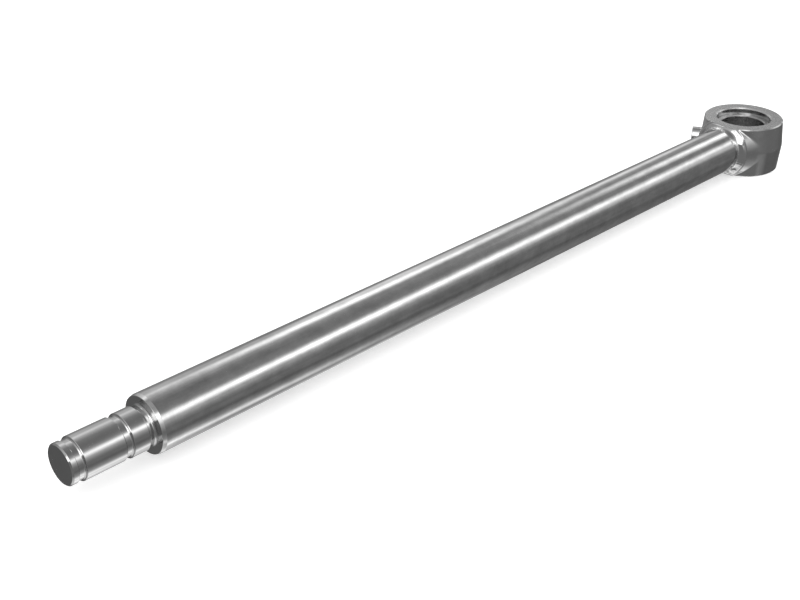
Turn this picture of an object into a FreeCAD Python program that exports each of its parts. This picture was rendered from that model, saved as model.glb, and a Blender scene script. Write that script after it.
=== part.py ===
import FreeCAD, Part
import math
import os

# Welded piston rod: a chromed bar with a turned piston spigot at one end and a
# forged eye welded to the other.
# Frame: origin at the centre of the eye's bore, +X along the bar from the eye to
# the spigot, +Z along the eye's bore. Millimetres.

os.makedirs("parts", exist_ok=True)
V = FreeCAD.Vector

# ---- driving dimensions -------------------------------------------------------
rod_d = 36.0            # chromed bar

# stations along X, measured from the eye's centre
x_root = 34.6           # root face, where bar and neck butt
x_rod_toe = 36.6        # weld toe on the bar
x_lead = 596.7          # start of the lead-in chamfer
x_shoulder = 599.1      # shoulder face
x_land_c0 = 603.7       # seal land
x_land_c1 = 613.3
x_land_b0 = 618.0       # piston land
x_land_b1 = 643.1
x_collar0 = 647.2       # end collar
x_tip = 651.4

lead_face_d = 34.8      # shoulder face edge, inside the lead-in chamfer
relief_d = 23.4         # relief at the shoulder
land_c_d = 26.4         # seal land
seal_groove_d = 23.6
land_b_d = 25.9         # piston land
ring_groove_d = 23.2
collar_d = 24.6
tip_face_d = 23.0

seal_chamfer = 0.3      # seal land's edge on the seal groove
land_b_chamfer = 0.5    # piston land's edge on the seal groove
ring_chamfer = 0.3      # piston land's edge on the ring groove
wall_r = 1.0            # root radius under the two land edges that face the tip
floor_r = 0.2           # root radius on the other side of the two grooves
corner_r = 0.5          # relief's root radius at the seal land
relief_r = 1.4          # root radius at the shoulder

# bar's welding end
bevel_root_d = 16.0     # flat left at the root on both sides of the joint
centre_hole_d = 10.2
centre_hole_depth = 8.0

# eye
eye_w = 40.6            # width over the machined faces
eye_face_d = 63.1       # diameter at the faces
draft_deg = 5.0         # forging draft, both ways from the parting line
eye_edge = 0.7          # broken outer edge
bore_d = 43.0           # bore in the forging
bore_chamfer = 1.0

# conical neck
x_neck_end = 28.8       # toe of the weld on the neck
neck_end_r = 23.6
neck_slope = 0.404      # radius gained per millimetre towards the eye
x_neck_in = 8.5         # where the cone is buried in the ring
centring_d = 10.0
centring_len = 7.0

# pressed-in bush
bush_id = 35.0
bush_len = 30.0
bush_in_chamfer = 0.75
bush_out_chamfer = 1.0
bush_groove_w = 3.0     # annular grease groove on the running face
bush_groove_depth = 0.8

# lubrication boss and its port
boss_angle_deg = -60.0  # from +X, about +Z
boss_d = 15.0
boss_end_r = 40.3       # flat end, from the eye's centre
boss_chamfer = 0.4
port_d = 10.0           # threaded part of the port
port_depth = 9.5
oil_hole_d = 4.0

# flush socket plug
plug_len = 8.0
plug_sink = 0.6         # below the boss's flat end
plug_socket_af = 5.0
plug_socket_depth = 4.0
plug_chamfer = 0.8


# ---- helpers --------------------------------------------------------------------
def revolve_x(points):
    """Closed profile of (x, r) points turned about the X axis."""
    pts = [V(x, 0, r) for x, r in points]
    face = Part.Face(Part.makePolygon(pts + [pts[0]]))
    return face.revolve(V(0, 0, 0), V(1, 0, 0), 360)


def revolve_z(points):
    """Closed profile of (r, z) points turned about the Z axis."""
    pts = [V(r, 0, z) for r, z in points]
    face = Part.Face(Part.makePolygon(pts + [pts[0]]))
    return face.revolve(V(0, 0, 0), V(0, 0, 1), 360)


def profile_face(items):
    """Face in the XZ plane from lines and root arcs.
    items: (x, r) for a corner, or (x, r, radius) for a rounded one."""
    n = len(items)
    starts, ends, arcs = [None] * n, [None] * n, [None] * n
    for i, it in enumerate(items):
        p = V(it[0], 0, it[1])
        if len(it) == 2:
            starts[i] = ends[i] = p
            continue
        a = V(items[i - 1][0], 0, items[i - 1][1])
        b = V(items[(i + 1) % n][0], 0, items[(i + 1) % n][1])
        u = (a - p).normalize()
        w = (b - p).normalize()
        half = u.getAngle(w) / 2
        cut = it[2] / math.tan(half)
        s, e = p + u * cut, p + w * cut
        mid_dir = (u + w).normalize()
        centre = p + mid_dir * (it[2] / math.sin(half))
        m = centre - mid_dir * it[2]
        starts[i], ends[i] = s, e
        arcs[i] = Part.Arc(s, m, e).toShape()
    edges = []
    for i in range(n):
        if arcs[i] is not None:
            edges.append(arcs[i])
        j = (i + 1) % n
        if (ends[i] - starts[j]).Length > 1e-6:
            edges.append(Part.LineSegment(ends[i], starts[j]).toShape())
    return Part.Face(Part.Wire(edges))


# ---- chromed bar with its spigot -------------------------------------------------
R = rod_d / 2
cs_, cb, cr = seal_chamfer, land_b_chamfer, ring_chamfer
x_wall_c = x_land_c1 + 0.5
rc, rb, rk = land_c_d / 2, land_b_d / 2, collar_d / 2
rr, rs, rg = relief_d / 2, seal_groove_d / 2, ring_groove_d / 2
tip_chamfer = rk - tip_face_d / 2

bar_profile = [
    (x_root, 0.0),
    (x_root, bevel_root_d / 2),
    (x_rod_toe, R),
    (x_lead, R),
    (x_shoulder, lead_face_d / 2),
    (x_shoulder, rr, relief_r),
    (x_land_c0, rr, corner_r),
    (x_land_c0, rc - 0.3),
    (x_land_c0 + 0.3, rc),
    (x_wall_c - cs_, rc),
    (x_wall_c, rc - cs_),
    (x_wall_c, rs, wall_r),
    (x_land_b0, rs, floor_r),
    (x_land_b0, rb - cb),
    (x_land_b0 + cb, rb),
    (x_land_b1 - cr, rb),
    (x_land_b1, rb - cr),
    (x_land_b1, rg, wall_r),
    (x_collar0, rg, floor_r),
    (x_collar0, rk - 0.3),
    (x_collar0 + 0.3, rk),
    (x_tip - tip_chamfer, rk),
    (x_tip, tip_face_d / 2),
    (x_tip, 0.0),
]
rod_bar = profile_face(bar_profile).revolve(V(0, 0, 0), V(1, 0, 0), 360)
# centre hole at the welding end, with a drill-point bottom
hr = centre_hole_d / 2
hole = revolve_x([
    (x_root - 1.0, 0.0),
    (x_root - 1.0, hr),
    (x_root + centre_hole_depth, hr),
    (x_root + centre_hole_depth + hr * math.tan(math.radians(31)), 0.0),
])
rod_bar = rod_bar.cut(hole)

# ---- forged eye --------------------------------------------------------------------
hw = eye_w / 2
rf = eye_face_d / 2
t = math.tan(math.radians(draft_deg))
rp = rf + hw * t                                   # at the parting line
e = eye_edge
ring = revolve_z([
    (0.0, -hw),
    (rf - e, -hw),
    (rf + e * t, -hw + e),
    (rp, 0.0),
    (rf + e * t, hw - e),
    (rf - e, hw),
    (0.0, hw),
])
# neck: a cone about X, as wide as the faces, with the bevel and the centring spigot
cs = centring_d / 2
neck = revolve_x([
    (x_neck_in, 0.0),
    (x_neck_in, neck_end_r + neck_slope * (x_neck_end - x_neck_in)),
    (x_neck_end, neck_end_r),
    (x_root, bevel_root_d / 2),
    (x_root, 0.0),
])
slab = Part.makeBox(200, 200, eye_w, V(-100, -100, -hw))
neck = neck.common(slab)
# boss for the grease port
a = math.radians(boss_angle_deg)
bd = V(math.cos(a), math.sin(a), 0)
br = boss_d / 2
boss = Part.makeCylinder(br, boss_end_r - boss_chamfer - 26.0, bd * 26.0, bd)
boss = boss.fuse(Part.makeCone(br, br - boss_chamfer, boss_chamfer,
                               bd * (boss_end_r - boss_chamfer), bd))
eye = ring.fuse(neck).fuse(boss)
# the neck's bevel is turned after forging and trims the ring's front edge as well
bevel_cut = revolve_x([
    (x_neck_end, neck_end_r),
    (x_root, bevel_root_d / 2),
    (x_root, 0.0),
    (60.0, 0.0),
    (60.0, neck_end_r),
])
# keep the boss clear of that cutter, then add the centring spigot
eye = eye.cut(bevel_cut)
eye = eye.fuse(revolve_x([
    (x_root - 4.0, 0.0),
    (x_root - 4.0, cs),
    (x_root + centring_len - 0.8, cs),
    (x_root + centring_len, cs - 0.8),
    (x_root + centring_len, 0.0),
]))
# bore with its chamfers
b0 = bore_d / 2
eye = eye.cut(revolve_z([
    (0.0, -hw - 1),
    (b0 + bore_chamfer + 1, -hw - 1),
    (b0, -hw + bore_chamfer),
    (b0, hw - bore_chamfer),
    (b0 + bore_chamfer + 1, hw + 1),
    (0.0, hw + 1),
]))
# grease port: threaded length, then the oil hole into the bore
port = Part.makeCylinder(port_d / 2, port_depth + 1.0, bd * (boss_end_r - port_depth), bd)
port_lead = Part.makeCone(port_d / 2, port_d / 2 + 0.5, 0.5, bd * (boss_end_r - 0.5), bd)
oil = Part.makeCylinder(oil_hole_d / 2, 30.0, bd * 12.0, bd)
rod_eye = eye.cut(port).cut(port_lead).cut(oil)
rod_eye = rod_eye.removeSplitter()

# ---- weld metal ------------------------------------------------------------------------
# fills the V; crowned outer face from the toe on the neck to the toe on the bar
def crown(f):
    """Point on the crowned face, f from 0 at the neck's toe to 1 at the bar's toe."""
    x = x_neck_end + (x_rod_toe - x_neck_end) * f
    r = neck_end_r + (R - neck_end_r) * f
    nx, nr = (neck_end_r - R), (x_rod_toe - x_neck_end)
    n = math.hypot(nx, nr)
    k = 1.0 * math.sin(math.pi * f)
    return V(x + nx / n * k, 0, r + nr / n * k)


edges = [
    Part.Arc(crown(0), crown(0.5), crown(1)).toShape(),
    Part.LineSegment(crown(1), V(x_root, 0, bevel_root_d / 2)).toShape(),
    Part.LineSegment(V(x_root, 0, bevel_root_d / 2), crown(0)).toShape(),
]
weld = Part.Face(Part.Wire(edges)).revolve(V(0, 0, 0), V(1, 0, 0), 360)
weld_bead = weld.common(slab)

# ---- bush ---------------------------------------------------------------------------------
hb = bush_len / 2
bi, bo = bush_id / 2, bore_d / 2
ci, co = bush_in_chamfer, bush_out_chamfer
gw, gd = bush_groove_w / 2, bush_groove_depth
bush = revolve_z([
    (bi, -hb + ci),
    (bi + ci, -hb),
    (bo - co * 0.4, -hb),
    (bo, -hb + co),
    (bo, hb - co),
    (bo - co * 0.4, hb),
    (bi + ci, hb),
    (bi, hb - ci),
    (bi, gw),
    (bi + gd, gw),
    (bi + gd, -gw),
    (bi, -gw),
])
eye_bush = bush.cut(Part.makeCylinder(oil_hole_d / 2, 15.0, bd * 12.0, bd))

# ---- plug -----------------------------------------------------------------------------------
pr = port_d / 2
top = boss_end_r - plug_sink
base = top - plug_len
pc = plug_chamfer
plug = Part.makeCylinder(pr, plug_len - 2 * pc, bd * (base + pc), bd)
plug = plug.fuse(Part.makeCone(pr - pc, pr, pc, bd * base, bd))
plug = plug.fuse(Part.makeCone(pr, pr - pc, pc, bd * (top - pc), bd))
# hexagon socket
side = V(-math.sin(a), math.cos(a), 0)
hexr = plug_socket_af / 2 / math.cos(math.pi / 6)
corners = []
for k in range(6):
    h = math.radians(60 * k)
    corners.append(bd * (top - plug_socket_depth)
                   + side * (hexr * math.cos(h)) + V(0, 0, hexr * math.sin(h)))
socket = Part.Face(Part.makePolygon(corners + [corners[0]])).extrude(bd * (plug_socket_depth + 1))
grease_plug = plug.removeSplitter().cut(socket)

# ---- write -----------------------------------------------------------------------------------
nodes = {
    "rod_bar": rod_bar,
    "rod_eye": rod_eye,
    "weld_bead": weld_bead,
    "eye_bush": eye_bush,
    "grease_plug": grease_plug,
}
for name, shape in nodes.items():
    solids = shape.Solids
    s = solids[0] if len(solids) == 1 else shape
    if s.Volume < 0:
        s.reverse()
    s.exportStep("parts/%s.step" % name)
    bb = s.BoundBox
    print("%-12s solids %d valid %s closed %s vol %.1f  box [%.2f %.2f %.2f] [%.2f %.2f %.2f]" % (
        name, len(solids), s.isValid(), all(q.isClosed() for q in solids), s.Volume,
        bb.XMin, bb.YMin, bb.ZMin, bb.XMax, bb.YMax, bb.ZMax))
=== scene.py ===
import math

import bpy
import numpy as np
from mathutils import Matrix, Vector


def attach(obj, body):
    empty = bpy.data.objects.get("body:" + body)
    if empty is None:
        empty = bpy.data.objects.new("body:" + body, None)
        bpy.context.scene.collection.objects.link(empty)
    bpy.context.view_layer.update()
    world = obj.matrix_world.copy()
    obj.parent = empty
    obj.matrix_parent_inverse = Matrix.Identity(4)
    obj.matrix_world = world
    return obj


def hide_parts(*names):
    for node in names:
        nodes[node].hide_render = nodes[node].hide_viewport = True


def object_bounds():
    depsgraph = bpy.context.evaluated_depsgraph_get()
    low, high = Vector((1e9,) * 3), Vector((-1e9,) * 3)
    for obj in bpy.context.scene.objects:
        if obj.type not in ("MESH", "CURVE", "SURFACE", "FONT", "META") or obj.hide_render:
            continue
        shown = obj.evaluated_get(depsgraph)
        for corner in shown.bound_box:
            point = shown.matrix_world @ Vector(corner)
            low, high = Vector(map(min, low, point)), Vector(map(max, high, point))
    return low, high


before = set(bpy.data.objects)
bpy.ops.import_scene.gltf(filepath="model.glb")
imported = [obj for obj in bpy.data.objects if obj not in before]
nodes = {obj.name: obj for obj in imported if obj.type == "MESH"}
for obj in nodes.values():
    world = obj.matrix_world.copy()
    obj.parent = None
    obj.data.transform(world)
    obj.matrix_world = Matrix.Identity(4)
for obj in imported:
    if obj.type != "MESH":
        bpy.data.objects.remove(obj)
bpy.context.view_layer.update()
MM = 0.001
scene = bpy.context.scene


# ---------------------------------------------------------------------------
# node helpers
# ---------------------------------------------------------------------------
class Tree:
    """Short calls for building a node tree."""

    def __init__(self, tree):
        self.t = tree
        tree.nodes.clear()

    def put(self, socket, value):
        if isinstance(value, bpy.types.NodeSocket):
            self.t.links.new(value, socket)
        elif value is not None:
            socket.default_value = value

    def node(self, kind, **props):
        n = self.t.nodes.new(kind)
        for k, v in props.items():
            setattr(n, k, v)
        return n

    def math(self, op, a, b=None, c=None, clamp=False):
        n = self.node("ShaderNodeMath", operation=op, use_clamp=clamp)
        self.put(n.inputs[0], a)
        self.put(n.inputs[1], b)
        if c is not None:
            self.put(n.inputs[2], c)
        return n.outputs[0]

    def ramp(self, value, a, b, lo=0.0, hi=1.0, smooth=True):
        n = self.node("ShaderNodeMapRange",
                      interpolation_type="SMOOTHSTEP" if smooth else "LINEAR")
        self.put(n.inputs["Value"], value)
        self.put(n.inputs["From Min"], a)
        self.put(n.inputs["From Max"], b)
        self.put(n.inputs["To Min"], lo)
        self.put(n.inputs["To Max"], hi)
        return n.outputs["Result"]

    def scaled(self, vector, scale, move=(0, 0, 0)):
        n = self.node("ShaderNodeMapping")
        self.put(n.inputs["Vector"], vector)
        n.inputs["Scale"].default_value = scale
        n.inputs["Location"].default_value = move
        return n.outputs["Vector"]

    def noise(self, vector, scale, detail=3.0, rough=0.5, distort=0.0):
        n = self.node("ShaderNodeTexNoise")
        self.put(n.inputs["Vector"], vector)
        n.inputs["Scale"].default_value = scale
        n.inputs["Detail"].default_value = detail
        n.inputs["Roughness"].default_value = rough
        n.inputs["Distortion"].default_value = distort
        return n.outputs["Fac"]

    def grey(self, value):
        n = self.node("ShaderNodeCombineColor")
        for i in range(3):
            self.put(n.inputs[i], value)
        return n.outputs["Color"]

    def bump(self, height, strength, distance, normal=None):
        n = self.node("ShaderNodeBump")
        n.inputs["Strength"].default_value = strength
        n.inputs["Distance"].default_value = distance
        self.put(n.inputs["Height"], height)
        if normal is not None:
            self.put(n.inputs["Normal"], normal)
        return n.outputs["Normal"]


def metal(name):
    """A material with a metallic surface shader, and its tree."""
    mat = bpy.data.materials.new(name)
    mat.use_nodes = True
    t = Tree(mat.node_tree)
    out = t.node("ShaderNodeOutputMaterial")
    s = t.node("ShaderNodeBsdfPrincipled")
    s.inputs["Metallic"].default_value = 1.0
    s.inputs["Specular Tint"].default_value = (0.72, 0.72, 0.72, 1)
    t.t.links.new(s.outputs[0], out.inputs[0])
    obj = t.node("ShaderNodeTexCoord").outputs["Object"]
    return mat, t, s, obj


# ---------------------------------------------------------------------------
# materials
# ---------------------------------------------------------------------------
def chrome():
    mat, t, s, p = metal("hard_chrome")
    # long faint clouds and the fine rings that polishing leaves round the bar
    clouds = t.noise(t.scaled(p, (85, 150, 150)), 1.0, 4, 0.62)
    rings = t.noise(t.scaled(p, (900, 14, 14)), 1.0, 3, 0.65)
    streaks = t.noise(t.scaled(p, (5, 330, 330)), 1.0, 2, 0.5)
    tone = t.math("ADD", t.math("MULTIPLY", clouds, 0.46), t.math("MULTIPLY", rings, 0.05))
    tone = t.math("ADD", tone, t.math("MULTIPLY", streaks, 0.24))
    t.put(s.inputs["Base Color"], t.grey(t.math("ADD", tone, 0.278)))
    t.put(s.inputs["Roughness"],
          t.math("ADD", 0.022, t.math("MULTIPLY", t.math("ADD", clouds, rings), 0.03)))
    n = t.bump(clouds, 0.5, 0.00006)
    t.put(s.inputs["Normal"], t.bump(rings, 0.10, 0.00003, n))
    return mat


def turned(name, base, rough, pitch, axis, depth, strength=0.35):
    """Machined steel: fine feed marks round an axis, with slight cloudiness."""
    mat, t, s, p = metal(name)
    clouds = t.noise(p, 160.0, 4, 0.6)
    fine = t.noise(p, 2600.0, 2, 0.6)
    if axis == "x":      # rings along the bar
        marks = t.noise(t.scaled(p, (1 / pitch, 20, 20)), 1.0, 3, 0.6)
    else:                # rings about the eye's bore
        sep = t.node("ShaderNodeSeparateXYZ")
        t.put(sep.inputs[0], p)
        r = t.math("SQRT", t.math("ADD", t.math("MULTIPLY", sep.outputs[0], sep.outputs[0]),
                                  t.math("MULTIPLY", sep.outputs[1], sep.outputs[1])))
        c = t.node("ShaderNodeCombineXYZ")
        t.put(c.inputs[0], t.math("MULTIPLY", r, 1 / pitch))
        t.put(c.inputs[1], t.math("MULTIPLY", sep.outputs[2], 1 / pitch))
        marks = t.noise(c.outputs[0], 1.0, 3, 0.6)
    tone = t.math("ADD", t.math("MULTIPLY", clouds, 0.10), t.math("MULTIPLY", marks, 0.05))
    t.put(s.inputs["Base Color"], t.grey(t.math("ADD", tone, base - 0.075)))
    t.put(s.inputs["Roughness"],
          t.math("ADD", rough, t.math("MULTIPLY", t.math("ADD", clouds, fine), 0.06)))
    n = t.bump(marks, strength, depth)
    t.put(s.inputs["Normal"], t.bump(fine, 0.15, 0.00002, n))
    return mat


def forged():
    mat, t, s, p = metal("forged_steel")
    clouds = t.noise(p, 90.0, 5, 0.6)
    grain = t.noise(p, 900.0, 4, 0.65)
    fine = t.noise(p, 3200.0, 2, 0.6)
    tone = t.math("ADD", t.math("MULTIPLY", clouds, 0.12), t.math("MULTIPLY", grain, 0.08))
    t.put(s.inputs["Base Color"], t.grey(t.math("ADD", tone, 0.52)))
    t.put(s.inputs["Roughness"],
          t.math("ADD", 0.07, t.math("MULTIPLY", t.math("ADD", clouds, grain), 0.05)))
    n = t.bump(clouds, 0.25, 0.0002)
    n = t.bump(grain, 0.25, 0.00008, n)
    t.put(s.inputs["Normal"], t.bump(fine, 0.2, 0.00002, n))
    return mat


def weld_skin():
    mat, t, s, p = metal("weld_metal")
    clouds = t.noise(p, 220.0, 4, 0.6)
    fine = t.noise(p, 1800.0, 3, 0.6)
    t.put(s.inputs["Base Color"], t.grey(t.math("ADD", t.math("MULTIPLY", clouds, 0.12), 0.64)))
    t.put(s.inputs["Roughness"],
          t.math("ADD", 0.05, t.math("MULTIPLY", t.math("ADD", clouds, fine), 0.05)))
    t.put(s.inputs["Normal"], t.bump(fine, 0.2, 0.00003))
    return mat


M_CHROME = chrome()
M_TURNED = turned("turned_steel", 0.65, 0.03, 0.00035, "x", 0.00001)
M_BORED = turned("bored_steel", 0.80, 0.10, 0.00040, "z", 0.00002)
M_FACED = turned("faced_steel", 0.70, 0.21, 0.00040, "z", 0.00003)
M_FORGED = forged()
M_WELD = weld_skin()
M_BUSH = turned("bush_steel", 0.50, 0.22, 0.00030, "z", 0.00002)
M_PLUG = turned("plug_steel", 0.42, 0.28, 0.00050, "z", 0.00002)


def dress(obj, mat):
    if not obj.material_slots:
        obj.data.materials.append(mat)
    for s in obj.material_slots:
        s.material = mat


# ---------------------------------------------------------------------------
# turned pieces
# ---------------------------------------------------------------------------
def lathe(name, points, segments, materials):
    """Closed surface turned about X. points: (x, r, sharp, material) in mm, from
    axis to axis; material is that of the band that starts at the point."""
    verts, faces, mats = [], [], []
    rings = []
    for x, r, sharp, m in points:
        if r <= 1e-9:
            rings.append([len(verts)])
            verts.append((x * MM, 0.0, 0.0))
        else:
            rings.append(list(range(len(verts), len(verts) + segments)))
            for k in range(segments):
                a = 2 * math.pi * k / segments
                verts.append((x * MM, r * MM * math.cos(a), r * MM * math.sin(a)))
    for i in range(len(points) - 1):
        a, b = rings[i], rings[i + 1]
        for k in range(segments):
            j = (k + 1) % segments
            if len(a) == 1:
                faces.append((a[0], b[j], b[k]))
            elif len(b) == 1:
                faces.append((a[k], a[j], b[0]))
            else:
                faces.append((a[k], a[j], b[j], b[k]))
            mats.append(points[i][3])
    me = bpy.data.meshes.new(name)
    me.from_pydata(verts, [], faces)
    for m in materials:
        me.materials.append(m)
    me.polygons.foreach_set("material_index", mats)
    me.polygons.foreach_set("use_smooth", [True] * len(faces))
    sharp_verts = set()
    for (x, r, sharp, m), ring in zip(points, rings):
        if sharp and len(ring) > 1:
            sharp_verts.update(ring)
    ring_of = {}
    for i, ring in enumerate(rings):
        for v in ring:
            ring_of[v] = i
    for e in me.edges:
        a, b = e.vertices
        if a in sharp_verts and b in sharp_verts and ring_of[a] == ring_of[b]:
            e.use_edge_sharp = True
    me.update()
    me.validate()
    o = bpy.data.objects.new(name, me)
    scene.collection.objects.link(o)
    return o


def rounded(corners):
    """(x, r, radius, material) corners to lathe points, each corner an arc."""
    n = len(corners)
    P = np.array([c[:2] for c in corners])
    side = np.linalg.norm(np.diff(P, axis=0), axis=1)
    cuts = np.zeros(n)
    for i in range(1, n - 1):
        u, w = P[i - 1] - P[i], P[i + 1] - P[i]
        half = math.acos(max(-1, min(1, float(u @ w) / side[i - 1] / side[i]))) / 2
        cuts[i] = corners[i][2] / math.tan(half)
    for i in range(n - 1):                       # arcs that share a side keep off each other
        both = cuts[i] + cuts[i + 1]
        if both > 0.96 * side[i]:
            cuts[i] *= 0.96 * side[i] / both
            cuts[i + 1] *= 0.96 * side[i] / both
    out = []
    for i, (x, r, rad, m) in enumerate(corners):
        if i in (0, n - 1) or rad <= 0:
            out.append((x, r, True, m))
            continue
        u = (P[i - 1] - P[i]) / side[i - 1]
        w = (P[i + 1] - P[i]) / side[i]
        half = math.acos(max(-1, min(1, float(u @ w)))) / 2
        cut = cuts[i]
        rad = cut * math.tan(half)
        c = P[i] + (u + w) / np.linalg.norm(u + w) * rad / math.sin(half)
        s, e = P[i] + u * cut, P[i] + w * cut
        a0 = math.atan2(*(s - c)[::-1])
        a1 = math.atan2(*(e - c)[::-1])
        d = (a1 - a0 + math.pi) % (2 * math.pi) - math.pi
        steps = max(2, int(math.ceil(abs(math.degrees(d)) / 15)))
        for k in range(steps + 1):
            t = a0 + d * k / steps
            q = c + rad * np.array([math.cos(t), math.sin(t)])
            out.append((float(q[0]), float(q[1]), k in (0, steps), m))
    return out


R = 18.0
BAR = [  # x, r, edge radius, finish (0 chrome, 1 turned)
    (45.66, 0.0, 0, 1),      # centre hole, hidden by the weld
    (42.6, 5.1, 0, 1),
    (34.6, 5.1, 0.2, 1),
    (34.6, 17.7, 0.2, 1),    # its root runs on under the weld
    (34.9, 18.0, 0, 0),
    (36.6, 18.0, 0, 0),
]
BAR += [(36.6 + (596.7 - 36.6) * k / 28, 18.0, 0, 0) for k in range(1, 28)]
BAR += [
    (596.7, 18.0, 0.35, 1),
    (599.1, 17.4, 0.25, 1),
    (599.1, 11.7, 1.4, 1),
    (603.7, 11.7, 0.5, 1),
    (603.7, 12.9, 0.12, 1),
    (604.0, 13.2, 0.12, 1),
    (613.5, 13.2, 0.08, 1),
    (613.8, 12.9, 0.04, 1),
    (613.8, 11.8, 1.0, 1),
    (618, 11.8, 0.2, 1),
    (618, 12.45, 0.05, 1),
    (618.5, 12.95, 0.12, 1),
    (642.8, 12.95, 0.08, 1),
    (643.1, 12.65, 0.04, 1),
    (643.1, 11.6, 1.0, 1),
    (647.2, 11.6, 0.2, 1),
    (647.2, 12.0, 0.05, 1),
    (647.5, 12.3, 0.12, 1),
    (650.6, 12.3, 0.2, 1),
    (651.4, 11.5, 0.2, 1),
    (651.4, 0.0, 0, 1),
]
pts = rounded(BAR)
# the plain stations along the bar aren't edges
pts = [(x, r, s and not (36.7 < x < 596.0), m) for x, r, s, m in pts]
bar = lathe("rod_bar_turned", pts, 240, [M_CHROME, M_TURNED])
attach(bar, "root")
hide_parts("rod_bar")



# ---------------------------------------------------------------------------
# forged eye: one closed skin taken from a distance field
# ---------------------------------------------------------------------------
HW, RF, DRAFT = 20.3, 31.55, math.radians(5.0)
RP = RF + HW * math.tan(DRAFT)
BOSS_A = math.radians(-60.0)


def eye_field(x, y, z):
    """Signed distance in mm to the eye's skin, negative inside the metal."""
    az = np.abs(z)
    rz = np.hypot(x, y)
    rx = np.hypot(y, z)
    # faint unevenness of a forged skin
    wave = (np.sin(0.55 * x + 1.3) * np.sin(0.48 * y + 0.4) * np.sin(0.42 * z + 0.9)
            + 0.6 * np.sin(0.31 * x - 0.9) * np.sin(0.97 * z + 0.2)
            + 0.5 * np.sin(1.07 * y + 0.5) * np.sin(0.83 * z + 2.1)) * 0.018
    ring = (rz - (RP - az * math.tan(DRAFT))) * math.cos(DRAFT)
    ring = np.maximum(ring, rz - (RP - 0.05)) + wave          # trimmed parting line
    ring = np.maximum(ring, (rz + az - (RF - 0.7 + HW)) * 0.70711)
    neck = (rx - (23.6 + 0.404 * (28.8 - x))) * 0.9272 + wave
    neck = np.maximum(neck, 8.5 - x)
    body = fillet(ring, neck, 0.4)
    body = np.maximum(body, (x - 28.8) * 0.9375 + (rx - 23.6) * 0.3486)
    body = np.maximum(body, x - 34.6)
    s = x * math.cos(BOSS_A) + y * math.sin(BOSS_A)
    w = -x * math.sin(BOSS_A) + y * math.cos(BOSS_A)
    q = np.hypot(w, z)
    boss = np.maximum(np.maximum(q - 7.5, s - 40.3),
                      np.maximum((q + s - 47.4) * 0.70711, 25.0 - s))
    body = np.where(s > 20, fillet(body, boss, 0.7), body)
    body = np.maximum(body, az - HW)
    body = np.maximum(body, np.maximum(21.5 - rz, (2.2 + az - rz) * 0.70711))
    body = np.maximum(body, -np.maximum(q - 5.0, 30.8 - s))               # port
    body = np.maximum(body, -np.maximum((q - 5.0 - (s - 39.8)) * 0.70711, 39.3 - s))
    body = np.maximum(body, -np.maximum(q - 2.0, 12.0 - s))               # oil hole
    # centring spigot inside the bar
    return np.minimum(body, np.maximum(np.maximum(rx - 5.0, x - 41.6), 30.0 - x))


def fillet(a, b, r):
    """Union of two distances with a round fillet of radius r between them."""
    u = np.maximum(r - a, 0.0)
    v = np.maximum(r - b, 0.0)
    return np.maximum(r, np.minimum(a, b)) - np.hypot(u, v)


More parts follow.
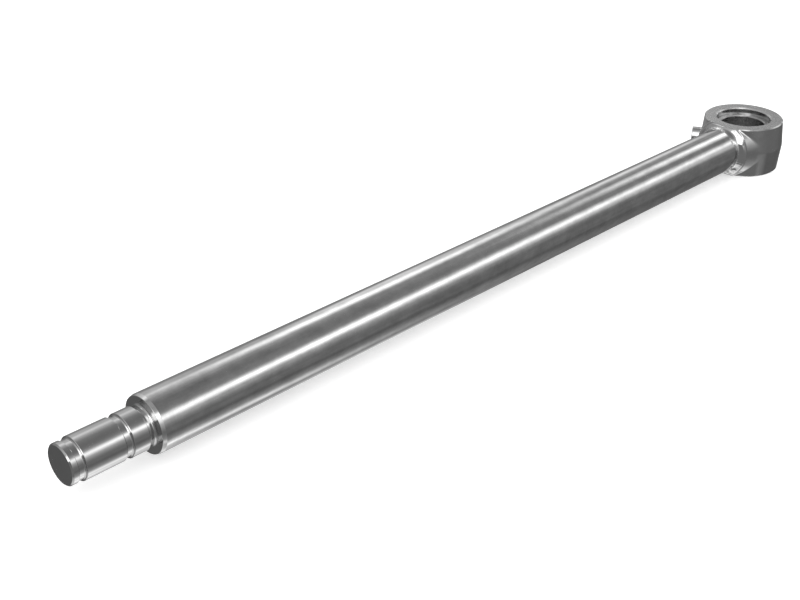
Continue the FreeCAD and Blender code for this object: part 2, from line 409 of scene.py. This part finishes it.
def skin(name, field, low, high, h, bounds, mats, pick, sharp_deg=28.0):
    """Dual contouring of field() on a grid of step h, with its edges kept sharp.
    pick(centres, normals) gives each face's material index."""
    low, high = np.array(low, float), np.array(high, float)
    dims = np.ceil((high - low) / h).astype(int) + 1
    ax = [low[i] + h * np.arange(dims[i]) for i in range(3)]
    X, Y, Z = np.meshgrid(*ax, indexing="ij")
    val = field(X, Y, Z)
    inside = val < 0

    def f(p):
        return field(p[:, 0], p[:, 1], p[:, 2])

    def grad(p, e=0.004):
        g = np.stack([f(p + d) - f(p - d) for d in np.eye(3) * e], 1)
        return g / np.maximum(np.linalg.norm(g, axis=1, keepdims=True), 1e-12)

    cells = dims - 1
    pts, nrm, cid, quads = [], [], [], []
    for a in range(3):
        sl0, sl1 = [slice(None)] * 3, [slice(None)] * 3
        sl0[a], sl1[a] = slice(0, -1), slice(1, None)
        s0, s1 = inside[tuple(sl0)], inside[tuple(sl1)]
        idx = np.argwhere(s0 != s1)
        b, c = (a + 1) % 3, (a + 2) % 3
        ok = (idx[:, b] > 0) & (idx[:, c] > 0) & (idx[:, b] < cells[b]) & (idx[:, c] < cells[c])
        idx = idx[ok]
        p0 = low + h * idx
        step = np.eye(3)[a] * h
        v0 = val[tuple(idx.T)]
        j = idx.copy()
        j[:, a] += 1
        v1 = val[tuple(j.T)]
        lo_, hi_ = np.zeros(len(idx)), np.ones(len(idx))
        for _ in range(6):
            t_ = np.clip(lo_ + (hi_ - lo_) * v0 / (v0 - v1), lo_ + 0.02 * (hi_ - lo_), hi_ - 0.02 * (hi_ - lo_))
            vm = f(p0 + t_[:, None] * step)
            left = (vm < 0) == (v0 < 0)
            lo_, v0 = np.where(left, t_, lo_), np.where(left, vm, v0)
            hi_, v1 = np.where(left, hi_, t_), np.where(left, v1, vm)
        t_ = lo_ + (hi_ - lo_) * v0 / (v0 - v1)
        p = p0 + t_[:, None] * step
        n = grad(p)
        corner = []
        for db, dc in ((0, 0), (-1, 0), (-1, -1), (0, -1)):
            k = idx.copy()
            k[:, b] += db
            k[:, c] += dc
            corner.append((k[:, 0] * cells[1] + k[:, 1]) * cells[2] + k[:, 2])
        corner = np.stack(corner, 1)
        for k in range(4):
            pts.append(p)
            nrm.append(n)
            cid.append(corner[:, k])
        out_ = inside[tuple(idx.T)]
        quads.append(np.where(out_[:, None], corner, corner[:, ::-1]))
    pts, nrm, cid = np.concatenate(pts), np.concatenate(nrm), np.concatenate(cid)
    used, inv = np.unique(cid, return_inverse=True)
    m = len(used)
    cnt = np.bincount(inv, minlength=m).astype(float)
    mean = np.stack([np.bincount(inv, pts[:, i], m) for i in range(3)], 1) / cnt[:, None]
    ata = np.zeros((m, 3, 3))
    atb = np.zeros((m, 3))
    d = (nrm * (pts - mean[inv])).sum(1)
    for i in range(3):
        atb[:, i] = np.bincount(inv, nrm[:, i] * d, m)
        for k in range(3):
            ata[:, i, k] = np.bincount(inv, nrm[:, i] * nrm[:, k], m)
    spread = np.linalg.norm(np.stack([np.bincount(inv, nrm[:, i], m) for i in range(3)], 1), axis=1) / cnt
    ata += np.eye(3) * 0.02
    pos = mean + np.linalg.solve(ata, atb[:, :, None])[:, :, 0]
    base = np.stack([used // (cells[1] * cells[2]), used // cells[2] % cells[1], used % cells[2]], 1)
    clo = low + h * base
    pos = np.clip(pos, clo - 0.1 * h, clo + 1.1 * h)
    smooth = spread > 0.985
    q = pos[smooth]
    for _ in range(2):
        q = q - f(q)[:, None] * grad(q)
    pos[smooth] = np.clip(q, clo[smooth] - 0.3 * h, clo[smooth] + 1.3 * h)
    faces = np.searchsorted(used, np.concatenate(quads))
    pos = np.clip(pos, *bounds)
    me = bpy.data.meshes.new(name)
    me.from_pydata((pos * MM).tolist(), [], faces.tolist())
    for mt in mats:
        me.materials.append(mt)
    me.update()
    ctr = np.empty(len(me.polygons) * 3)
    me.polygons.foreach_get("center", ctr)
    nor = np.empty(len(me.polygons) * 3)
    me.polygons.foreach_get("normal", nor)
    ctr, nor = ctr.reshape(-1, 3) / MM, nor.reshape(-1, 3)
    me.polygons.foreach_set("material_index", pick(ctr, nor).astype(int))
    me.polygons.foreach_set("use_smooth", [True] * len(me.polygons))
    mark_sharp(me, sharp_deg)
    o = bpy.data.objects.new(name, me)
    scene.collection.objects.link(o)
    return o


def mark_sharp(me, degrees):
    """Edges where the surface turns by more than this stay sharp."""
    loops = np.empty(len(me.loops), np.int64)
    me.loops.foreach_get("edge_index", loops)
    total = np.empty(len(me.polygons), np.int64)
    me.polygons.foreach_get("loop_total", total)
    face = np.repeat(np.arange(len(me.polygons)), total)
    nor = np.empty(len(me.polygons) * 3)
    me.polygons.foreach_get("normal", nor)
    nor = nor.reshape(-1, 3)
    order = np.argsort(loops, kind="stable")
    e, f = loops[order], face[order]
    first = np.flatnonzero(np.r_[True, e[1:] != e[:-1]])
    count = np.diff(np.r_[first, len(e)])
    two = first[count == 2]
    cosine = (nor[f[two]] * nor[f[two + 1]]).sum(1)
    flags = np.zeros(len(me.edges), bool)
    flags[e[two]] = cosine < math.cos(math.radians(degrees))
    me.edges.foreach_set("use_edge_sharp", flags)
    me.update()


def eye_finish(c, n):
    """0 forged skin, 1 machined faces, 2 bore."""
    rz = np.hypot(c[:, 0], c[:, 1])
    s = c[:, 0] * math.cos(BOSS_A) + c[:, 1] * math.sin(BOSS_A)
    w = np.hypot(-c[:, 0] * math.sin(BOSS_A) + c[:, 1] * math.cos(BOSS_A), c[:, 2])
    cut = (np.abs(c[:, 2]) > HW - 0.06) | (rz < 22.6)
    cut |= (s > 39.7) & (w < 7.6)
    return cut.astype(int) + ((rz < 21.6) & (np.abs(c[:, 2]) < HW - 1.0))


eye = skin("rod_eye_forged", eye_field, (-34.3, -39.8, -21.05), (42.2, 34.2, 21.05), 0.5,
           ((-33.32, -38.45, -HW), (41.6, 33.32, HW)), [M_FORGED, M_FACED, M_BORED], eye_finish)
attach(eye, "root")
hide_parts("rod_eye")


# ---------------------------------------------------------------------------
# weld bead: a crowned ring with ripples, laid between neck and bar
# ---------------------------------------------------------------------------
def bead():
    around, rows = 900, 60
    rng = np.random.RandomState(11)
    th = np.arange(around) * 2 * math.pi / around
    k = np.abs(np.sin(th))
    rn = np.minimum(23.6, HW / np.maximum(k, 1e-3))            # neck radius at the joint

    def drift(count, size, seed):
        """A smooth closed random line round the bead."""
        g = np.random.RandomState(seed)
        out = np.zeros(around)
        for i in range(1, count + 1):
            out += g.normal() * np.cos(i * th + g.uniform(0, 6.283)) / i ** 0.6
        return size * out / max(1e-9, np.abs(out).max())

    deg = np.degrees(th)

    def bump_at(angle, width):
        d = (deg - angle + 180) % 360 - 180
        return np.exp(-(d / width) ** 2)

    ax_, ar = 28.8 + 0.15 + 0.06 * drift(9, 1, 3), rn - 0.36
    # the toe on the bar wanders
    bx = (35.9 + drift(14, 0.12, 5) - 1.4 * bump_at(2, 24) + 1.5 * bump_at(58, 22)
          + 0.6 * bump_at(33, 10) + 0.2 * bump_at(-50, 20) + 0.45 * bump_at(150, 30) - 0.3 * bump_at(-140, 25))
    br = np.full(around, 17.99)
    A = np.stack([ax_, ar], 1)
    B = np.stack([bx, br], 1)
    u = np.linspace(0, 1, rows)
    f = u - 0.10 * np.sin(2 * math.pi * u)                     # closer rows at both toes
    # a steep face below the neck that eases out onto the bar
    tail = bump_at(-37, 8) + 0.7 * bump_at(-60, 6)
    turn = (0.40 + 0.34 * bump_at(0, 26) - 0.08 * tail + 0.28 * bump_at(-50, 14)
            - 0.19 * bump_at(54, 20))[:, None]
    t2 = (0.24 + 0.10 * bump_at(4, 22) - 0.15 * tail)[:, None]
    q = np.clip((f[None, :] - turn + 0.11) / 0.22, 0, 1)
    q = q * q * (3 - 2 * q)
    ease = (1 - f[None, :]) / (1 - turn) * 2

    def total(g):
        return np.concatenate([np.zeros((around, 1)),
                               np.cumsum(0.5 * (g[:, 1:] + g[:, :-1]) * np.diff(f), axis=1)], 1)

    I1, I2 = total(1 - q), total(q * ease)
    run = (bx - ax_)[:, None]
    t1 = ((23.24 - br)[:, None] / run - t2 * I2[:, -1:]) / I1[:, -1:]
    r = 23.24 - run * (t1 * I1 + t2 * I2)
    # rolled over below the machined faces
    plane = (HW - 0.30) / np.maximum(k, 1e-3)[:, None]
    near = np.maximum(1.1 - np.abs(r - plane), 0) / 1.1
    r = np.minimum(r, plane) - near ** 2 * 1.1 / 4
    r = np.maximum(r, br[:, None])
    c = np.stack([ax_[:, None] + run * f[None, :], r], 2)
    d = np.stack([np.gradient(c[..., 0], axis=1), np.gradient(r, axis=1)], 2)
    d /= np.linalg.norm(d, axis=2, keepdims=True)
    nrm = np.stack([-d[..., 1], d[..., 0]], 2)                 # outward in (x, r)
    F = f[None, :]
    T = th[:, None]
    body = np.sin(np.pi * F) ** 0.8
    # ripples bowed along the travel, faint where the torch ran steadily
    phase = T * 57 + 2.2 * (F - 0.5) ** 2 * 4 + 0.7 * drift(6, 1, 8)[:, None]
    ripple = (1 - np.abs(np.sin(phase / 2))) ** 1.5
    steady = (bump_at(48, 34) + bump_at(-100, 40))[:, None]
    h = -0.05 * ripple * body * (1 - 0.85 * np.clip(steady, 0, 1))
    h = h + 0.05 * body * drift(11, 1, 21)[:, None]
    # undercut and lip along the neck
    h = h - 0.10 * np.exp(-((F - 0.07) / 0.028) ** 2) + 0.07 * np.exp(-((F - 0.015) / 0.02) ** 2)
    # drops along the toe on the bar
    spots = [-160, -141, -119, -97, -79, -64, -45, -27, -7, 15, 34, 79, 97, 112, 127, 146, 168]
    for a in spots:
        w = rng.uniform(2.6, 4.4)
        f0 = rng.uniform(0.86, 0.97)
        size = rng.uniform(0.20, 0.45)
        dt = (deg[:, None] - a - rng.uniform(-2, 2) + 180) % 360 - 180
        h = h + size * np.exp(-(dt / w) ** 2 - ((F - f0) / 0.07) ** 2)
    for a, f0, w, size in ((88, 0.36, 6, 0.22), (106, 0.68, 5, 0.20), (122, 0.5, 7, 0.2),
                           (21, 0.30, 11, 0.50), (-52, 0.52, 5, 0.26), (-46, 0.80, 4, 0.26),
                           (-63, 0.80, 4, 0.24), (-26, 0.50, 6, 0.16), (170, 0.5, 8, 0.2)):
        dt = (deg[:, None] - a + 180) % 360 - 180
        h = h + size * np.exp(-(dt / w) ** 2 - ((F - f0) / 0.12) ** 2)
    # small uneven lumps where the torch slowed, above and below
    for low, high, count, most in ((-78, -24, 46, 0.30), (92, 160, 34, 0.17),
                                   (-160, -110, 16, 0.17)):
        for _ in range(count):
            a, f0 = rng.uniform(low, high), rng.uniform(0.25, 0.95)
            w, size = rng.uniform(1.5, 3.0), rng.uniform(0.06, most)
            dt = (deg[:, None] - a + 180) % 360 - 180
            h = h + size * np.exp(-(dt / w) ** 2 - ((F - f0) / rng.uniform(0.05, 0.09)) ** 2)
    c = c + nrm * h[..., None]
    # stay under the machined faces
    top = (HW - 0.12) / np.maximum(k, 1e-3)
    c[..., 1] = np.minimum(c[..., 1], top[:, None])
    c[:, 0] = A
    c[:, -1] = B
    inner = np.stack([np.full(around, 34.6), np.full(around, 8.0)], 1)
    prof = np.concatenate([c, inner[:, None]], 1)              # around x (rows + 1) x 2
    m = rows + 1
    x = prof[..., 0] * MM
    y = prof[..., 1] * np.cos(th)[:, None] * MM
    z = prof[..., 1] * np.sin(th)[:, None] * MM
    verts = np.stack([x, y, z], 2).reshape(-1, 3)
    i = np.arange(around)[:, None]
    j = np.arange(m)[None, :]
    i2, j2 = (i + 1) % around, (j + 1) % m
    faces = np.stack([i * m + j, i2 * m + j, i2 * m + j2, i * m + j2], 2).reshape(-1, 4)
    me = bpy.data.meshes.new("weld_bead_rippled")
    me.from_pydata(verts.tolist(), [], faces.tolist())
    me.materials.append(M_WELD)
    me.polygons.foreach_set("use_smooth", [True] * len(faces))
    me.update()
    mark_sharp(me, 50.0)
    o = bpy.data.objects.new("weld_bead_rippled", me)
    scene.collection.objects.link(o)
    return o


weld = bead()
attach(weld, "root")
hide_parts("weld_bead")

dress(nodes["eye_bush"], M_BUSH)
dress(nodes["grease_plug"], M_PLUG)


# ---------------------------------------------------------------------------
# studio
# ---------------------------------------------------------------------------
def studio_world():
    """Soft strip lights and panels round the part, as seen in its reflections, on a
    plain pale surround. Directions: dx is the X part, psi the angle about X from +Y
    towards +Z, in degrees."""
    w = bpy.data.worlds.new("studio")
    w.use_nodes = True
    t = Tree(w.node_tree)
    d = t.node("ShaderNodeTexCoord").outputs["Generated"]
    sep = t.node("ShaderNodeSeparateXYZ")
    t.put(sep.inputs[0], d)
    x, y, z = sep.outputs
    psi = t.math("ARCTAN2", z, y)
    rad = math.radians
    total = None
    for c0, c1, half, lo, hi, x0, s0, x1, s1, power in PANELS:
        w_ = t.math("SUBTRACT", psi, t.math("MULTIPLY_ADD", x, rad(c1), rad(c0)))
        w_ = t.math("WRAP", w_, math.pi, -math.pi)
        m = t.math("MULTIPLY", t.ramp(w_, rad(-half - lo), rad(-half + lo), 0, power),
                   t.ramp(w_, rad(half - hi), rad(half + hi), 1, 0))
        m = t.math("MULTIPLY", m, t.math("MULTIPLY", t.ramp(x, x0 - s0, x0 + s0),
                                         t.ramp(x, x1 - s1, x1 + s1, 1, 0)))
        total = m if total is None else t.math("ADD", total, m)
    total = t.math("MAXIMUM", t.math("ADD", total, BASE), 0.03)
    seen = t.node("ShaderNodeBackground")
    t.put(seen.inputs["Color"], t.grey(total))
    plain = t.node("ShaderNodeBackground")
    plain.inputs["Color"].default_value = (1, 1, 1, 1)
    plain.inputs["Strength"].default_value = AMBIENT
    path = t.node("ShaderNodeLightPath")
    mix = t.node("ShaderNodeMixShader")
    t.put(mix.inputs[0], path.outputs["Is Glossy Ray"])
    t.put(mix.inputs[1], plain.outputs[0])
    t.put(mix.inputs[2], seen.outputs[0])
    out = t.node("ShaderNodeOutputWorld")
    t.put(out.inputs[0], mix.outputs[0])
    w.cycles.sampling_method = "NONE"
    scene.world = w


BASE = 0.185
AMBIENT = 1.10
PANELS = [  # c0, c1, half, soft low, soft high, x0, soft, x1, soft, power
    (13.9, -40, 5.5, 11, 15, -1.19, 0.28, -0.39, 0.18, 1.36),
    (27.0, -18, 2.9, 43, 9, -0.75, 0.23, 0.23, 0.40, 1.38),
    (66.7, -44, 9.6, 15, 13, -1.02, 0.15, -0.86, 0.20, 5.99),
    (136.5, 7, 7.7, 13, 13, -0.64, 0.12, -0.55, 0.13, 2.83),
    (107.4, -85, 11.9, 15, 14, -0.67, 0.08, -0.56, 0.04, 0.64),
    (19.2, -179, 10.1, 15, 19, -0.81, 0.02, -0.67, 0.11, 0.90),
    (-70.3, 8, 6.4, 12, 15, -0.47, 0.19, -0.44, 0.39, 3.72),
    (-80.5, 37, 9.8, 33, 7, -0.40, 0.11, -0.25, 0.07, 2.36),
    (-58.0, 31, 24.4, 21, 22, -0.66, 0.16, -0.03, 0.09, 0.29),
    (-150.5, 3, 30.2, 17, 33, -1.13, 0.18, -0.16, 0.26, 0.19),
    (-206.7, 13, 26.5, 22, 14, -0.80, 0.40, -0.13, 0.04, 0.42),
    (-124.1, -5, 11.8, 12, 20, -0.65, 0.05, -0.57, 0.40, 1.74),
    (56.6, 30, 12.0, 11, 45, -1.04, 0.22, 1.07, 0.18, 0.48),
    (152.5, 82, 9.8, 26, 15, -0.87, 0.30, 1.04, 0.10, 0.17),
    (41.0, 5, 13.3, 14, 8, -0.11, 0.03, 0.07, 0.30, 2.36),
    (54.0, 1, 21.8, 7, 13, 0.16, 0.07, 1.30, 0.05, 1.75),
    (119.0, 11, 33.3, 15, 27, -0.17, 0.36, 1.36, 0.10, 0.26),
    (123.7, -31, 5.6, 10, 9, -0.30, 0.40, 0.03, 0.05, 1.13),
    (-77.9, -30, 26.7, 17, 10, -0.12, 0.02, 0.54, 0.40, 0.76),
    (-23.8, 45, 17.7, 21, 9, -0.83, 0.23, -0.37, 0.12, -0.07),
    (72.7, 27, 14.6, 13, 22, -0.55, 0.40, -0.33, 0.05, -0.23),
    (-142.0, 0, 30.0, 15, 15, 0.20, 0.12, 0.80, 0.20, -0.05),
]
studio_world()

# floor: plain, pale, level with the eye's lower face
floor_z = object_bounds()[0][2]
me = bpy.data.meshes.new("floor")
n = 96
ring = [(3.0 * math.cos(2 * math.pi * k / n), 3.0 * math.sin(2 * math.pi * k / n), floor_z)
        for k in range(n)]
me.from_pydata(ring, [], [tuple(range(n))])
floor = bpy.data.objects.new("floor", me)
scene.collection.objects.link(floor)
mat = bpy.data.materials.new("floor_pale")
mat.use_nodes = True
t = Tree(mat.node_tree)
out = t.node("ShaderNodeOutputMaterial")
s = t.node("ShaderNodeBsdfPrincipled")
s.inputs["Specular IOR Level"].default_value = 0.0
s.inputs["Roughness"].default_value = 1.0
p = t.node("ShaderNodeTexCoord").outputs["Object"]
t.put(s.inputs["Base Color"], t.grey(t.math("ADD", 0.925, t.math("MULTIPLY", t.noise(p, 3.0, 2), 0.01))))
s.inputs["Emission Color"].default_value = (1, 1, 1, 1)
s.inputs["Emission Strength"].default_value = 0.42
t.t.links.new(s.outputs[0], out.inputs[0])
me.materials.append(mat)
floor.visible_glossy = False

# ---------------------------------------------------------------------------
# camera
# ---------------------------------------------------------------------------
az, el = math.radians(135.0), math.radians(28.457)
back = Vector((math.sin(az) * math.cos(el), -math.cos(az) * math.cos(el), math.sin(el)))
right = Vector((0, 0, 1)).cross(back).normalized()
up = back.cross(right)
cam = bpy.data.cameras.new("camera")
cam.sensor_fit = "HORIZONTAL"
cam.sensor_width = 36.0
cam.lens = 57.45
cam.clip_start = 0.01
cam.clip_end = 20.0
cam_obj = bpy.data.objects.new("camera", cam)
rot = Matrix((right, up, back)).transposed().to_4x4()
cam_obj.matrix_world = Matrix.Translation((0.90898, 0.50666, 0.39031)) @ rot
scene.collection.objects.link(cam_obj)
scene.camera = cam_obj

scene.view_settings.view_transform = "Standard"
scene.view_settings.look = "None"

bpy.context.view_layer.update()
